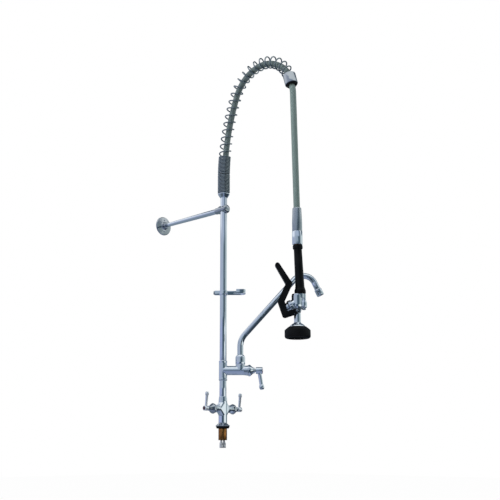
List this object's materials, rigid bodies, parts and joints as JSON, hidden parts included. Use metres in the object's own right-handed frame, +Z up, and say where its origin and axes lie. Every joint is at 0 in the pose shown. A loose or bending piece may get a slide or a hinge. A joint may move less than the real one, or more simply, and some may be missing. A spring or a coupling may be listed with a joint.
{
  "type": "pre-rinse faucet",
  "caption": "Deck-mounted kitchen faucet with two lever valves, a tall riser with a swivel add-on spout, a wall arm, and a sprung overhead hose with a hand spray valve.",
  "frame": {"origin": "the shank's axis at the deck, level with the underside of the deck gasket", "axes": "+Z up along the riser, +Y towards the wall that the upper arm is fixed to, hot valve at -X and cold valve at +X, spray hose at -Y"},
  "size_m": [0.2872, 0.6079, 1.1399],
  "materials": {
    "chrome": "polished chrome plate over brass",
    "steel": "turned stainless steel",
    "spring_steel": "bright drawn stainless wire",
    "brass": "bare turned brass, slightly dulled",
    "black_rubber": "smooth moulded rubber",
    "black_plastic": "satin moulded plastic",
    "braided_hose": "hose covered in stainless wire braid",
    "ceramic": "ground ceramic and plastic cartridge",
    "red_index": "glossy plastic",
    "blue_index": "glossy plastic"
  },
  "bodies": {
    "stand": {"brass_shank": "brass", "deck_gasket": "black_rubber", "base_flange": "chrome", "hot_inlet_tail": "steel", "cold_inlet_tail": "steel", "base_body": "chrome", "hot_bonnet": "chrome", "cold_bonnet": "chrome", "hot_cartridge": "ceramic", "cold_cartridge": "ceramic", "lower_riser": "chrome", "addon_body": "chrome", "addon_bonnet": "chrome", "addon_cartridge": "ceramic", "spout_nut": "chrome", "upper_riser": "chrome", "riser_clamp": "chrome", "riser_clamp_cap": "chrome", "wall_arm": "chrome", "wall_flange": "chrome", "flange_set_screw": "steel", "spring_foot": "chrome", "hose_tail": "brass", "overhead_spring": "spring_steel", "spring_collar": "chrome", "hose_in_spring": "braided_hose"},
    "hot_valve": {"hot_stem": "steel", "hot_lever": "chrome", "hot_index": "red_index"},
    "cold_valve": {"cold_stem": "steel", "cold_lever": "chrome", "cold_index": "blue_index"},
    "addon_valve": {"addon_stem": "steel", "addon_lever": "chrome", "addon_index": "red_index"},
    "spout": {"spout_tube": "chrome", "spout_orings": "black_rubber", "aerator": "chrome", "aerator_insert": "black_plastic"},
    "hook": {"spray_hook": "chrome", "hook_screw": "steel"},
    "bush": {"collar_bush": "black_rubber"},
    "hose": {"hose_hanging": "braided_hose", "hose_ferrule": "steel", "hose_nut": "chrome"},
    "spray": {"swivel_oring": "black_rubber", "grip_tube": "brass", "grip": "black_plastic", "spray_body": "chrome", "spray_bonnet": "chrome", "plunger_spring": "spring_steel", "left_lever_pin": "steel", "right_lever_pin": "steel", "rear_screw": "steel", "spray_head": "chrome", "spray_plate": "steel", "rubber_bumper": "black_rubber"},
    "lever": {"spray_lever": "black_plastic"},
    "plunger": {"spray_plunger": "steel", "plunger_washer": "black_rubber"}
  },
  "joints": [
    {"name": "hot_turn", "type": "hinge", "parent": "stand", "child": "hot_valve", "pos_m": [0, 0, 0.055], "axis": [1, 0, 0], "range_deg": [0, 90]},
    {"name": "cold_turn", "type": "hinge", "parent": "stand", "child": "cold_valve", "pos_m": [0, 0, 0.055], "axis": [1, 0, 0], "range_deg": [0, 90]},
    {"name": "addon_turn", "type": "hinge", "parent": "stand", "child": "addon_valve", "pos_m": [0, 0, 0.164], "axis": [0.7071, -0.7071, 0], "range_deg": [0, 90]},
    {"name": "spout_swing", "type": "hinge", "parent": "stand", "child": "spout", "pos_m": [0.03536, -0.03536, 0.19], "axis": [0, 0, 1], "range_deg": [-20, 149]},
    {"name": "hook_turn", "type": "hinge", "parent": "stand", "child": "hook", "pos_m": [0, 0, 0.3915], "axis": [0, 0, 1], "range_deg": [-90, 90]},
    {"name": "hose_side_swing", "type": "hinge", "parent": "stand", "child": "bush", "pos_m": [0, -0.2806, 0.9604], "axis": [0, 1, 0], "range_deg": [-4, 4]},
    {"name": "hose_swing", "type": "hinge", "parent": "bush", "child": "hose", "pos_m": [0, -0.2806, 0.9604], "axis": [1, 0, 0], "range_deg": [-6, 6]},
    {"name": "spray_swivel", "type": "hinge", "parent": "hose", "child": "spray", "pos_m": [0, -0.29212, 0.5], "axis": [0, 0, 1], "continuous": true},
    {"name": "lever_squeeze", "type": "hinge", "parent": "spray", "child": "lever", "pos_m": [-0.00283, -0.28929, 0.304], "axis": [0.7071, 0.7071, 0], "range_deg": [0, 5.5], "stiffness_Nm_per_rad": 4, "springref_deg": -5.73},
    {"name": "plunger_slide", "type": "slide", "parent": "spray", "child": "plunger", "axis": [0.6409, -0.6409, 0.4226], "range_m": [0, 0.0021]}
  ],
  "couplings": [
    {"joint": "plunger_slide", "follows": "lever_squeeze", "m_per_rad": 0.0198}
  ]
}
